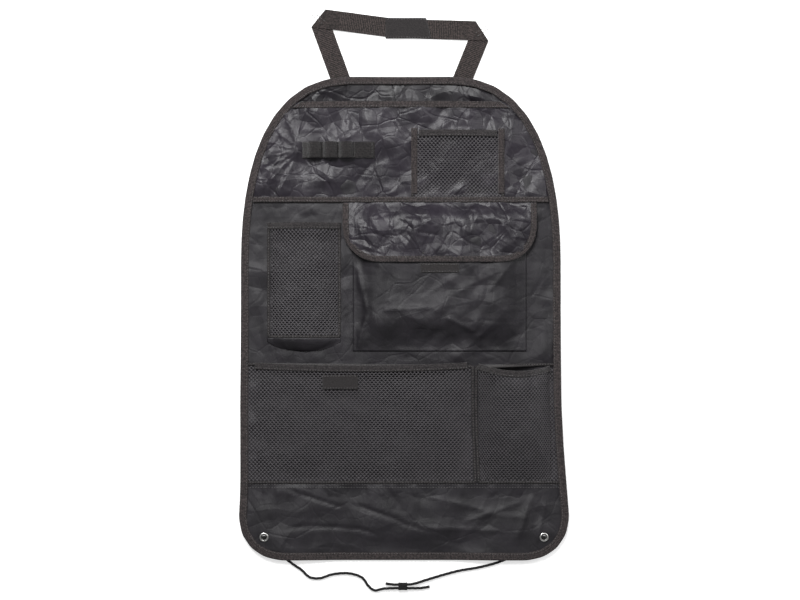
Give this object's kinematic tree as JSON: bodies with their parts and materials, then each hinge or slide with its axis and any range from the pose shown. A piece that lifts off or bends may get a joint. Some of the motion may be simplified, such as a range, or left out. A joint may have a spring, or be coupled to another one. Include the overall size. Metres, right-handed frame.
{
  "type": "car seat back organizer",
  "caption": "Arched fabric panel with net, slip and flap pockets, pen loops, a headrest strap with hook-and-loop closure and elastic tie cords, laid flat.",
  "frame": {"origin": "floor under the middle of the panel and strap, cords left out", "axes": "+Z out of the front face, +Y up the organizer towards the headrest strap, +X to its right as seen from the front"},
  "size_m": [0.4126, 0.7271, 0.0363],
  "materials": {
    "nylon": "coated nylon, glossy where it creases",
    "tape": "ribbed woven tape, matt",
    "net": "open hexagonal mesh, matt",
    "elastic": "woven elastic, matt",
    "hook": "hook-and-loop pile, matt",
    "webbing": "woven webbing, matt",
    "nickel": "polished nickel plate"
  },
  "bodies": {
    "root": {"back_panel": "nylon", "upper_pocket_panel": "nylon", "phone_pocket_base": "nylon", "flap_pocket_body": "nylon", "flap": "nylon", "edge_binding": "tape", "upper_pocket_binding": "tape", "divider_binding": "tape", "card_pocket_left_binding": "tape", "card_pocket_right_binding": "tape", "flap_binding": "tape", "card_pocket_net": "net", "phone_pocket_net": "net", "lower_pocket_net": "net", "bottle_pocket_net": "net", "pen_loop_band": "elastic", "card_pocket_top_band": "elastic", "phone_pocket_top_band": "elastic", "lower_pocket_top_band": "elastic", "bottle_pocket_top_band": "elastic", "cord_knot_left": "elastic", "cord_knot_right": "elastic", "elastic_cord_left": "elastic", "elastic_cord_right": "elastic", "cord_sleeve": "elastic", "flap_pocket_hook_patch": "hook", "flap_loop_patch": "hook", "lower_pocket_hook_tab": "hook", "strap_closure_band": "hook", "strap_left": "webbing", "strap_right": "webbing", "eyelet_left": "nickel", "eyelet_right": "nickel", "eyelet_washer_left": "nickel", "eyelet_washer_right": "nickel"}
  },
  "joints": []
}
